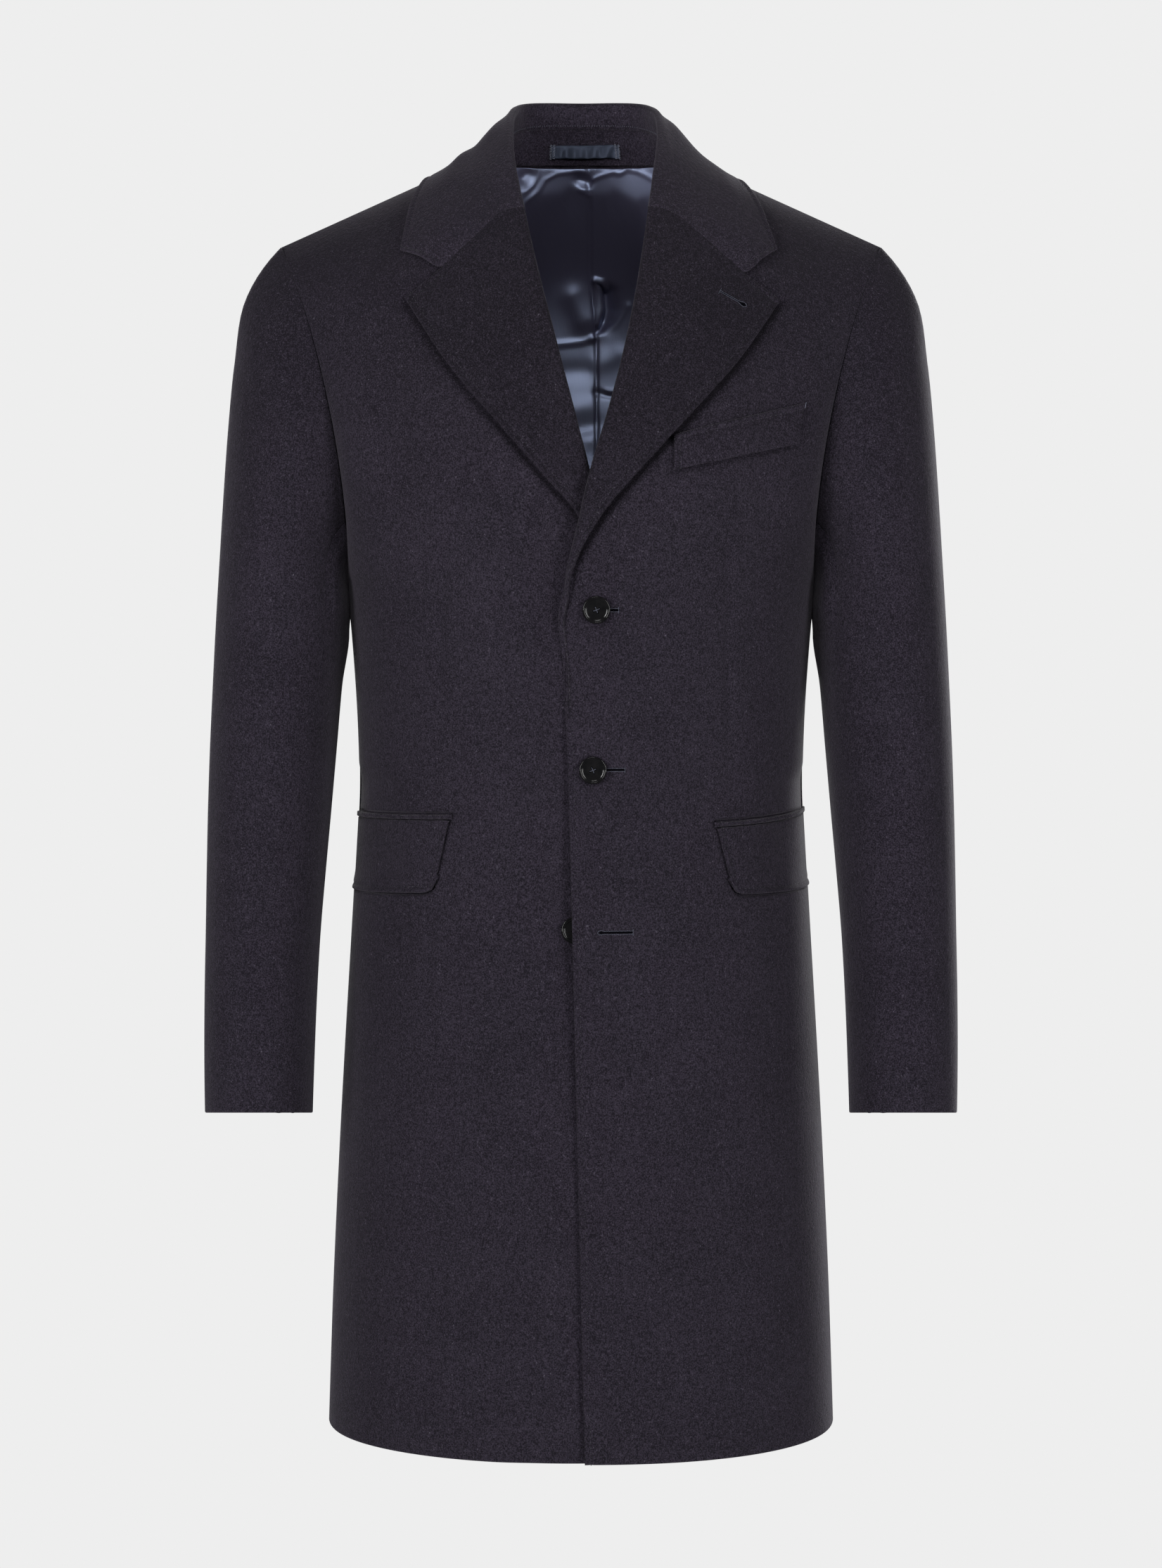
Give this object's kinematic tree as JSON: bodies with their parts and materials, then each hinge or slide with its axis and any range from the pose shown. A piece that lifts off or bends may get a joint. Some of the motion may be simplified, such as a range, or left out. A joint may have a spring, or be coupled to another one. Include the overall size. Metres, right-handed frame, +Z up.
{
  "type": "overcoat",
  "caption": "Single-breasted notch-lapel wool overcoat in dark navy, filled out as if worn, with flap pockets, a chest welt and a satin back lining.",
  "frame": {"origin": "middle of the base of the neck, between the shoulders that hold the coat up", "axes": "+X to the wearer's left, -Y to the front, +Z up"},
  "size_m": [0.5714, 0.3035, 1.0216],
  "materials": {
    "wool": "napped melton wool",
    "satin": "shiny satin lining",
    "button": "polished, dark"
  },
  "bodies": {
    "root": {"front_left": "wool", "front_right": "wool", "back_left": "wool", "back_right": "wool", "sleeve_left_top": "wool", "sleeve_left_under": "wool", "sleeve_right_top": "wool", "sleeve_right_under": "wool", "lapel_left": "wool", "lapel_right": "wool", "collar": "wool", "collar_stand": "wool", "flap_left": "wool", "flap_right": "wool", "jet_left": "wool", "jet_right": "wool", "chest_welt": "wool", "button_1": "button", "button_2": "button", "button_3": "button", "lining_back_left": "satin", "lining_back_right": "satin", "hanger_loop": "satin"}
  },
  "joints": []
}
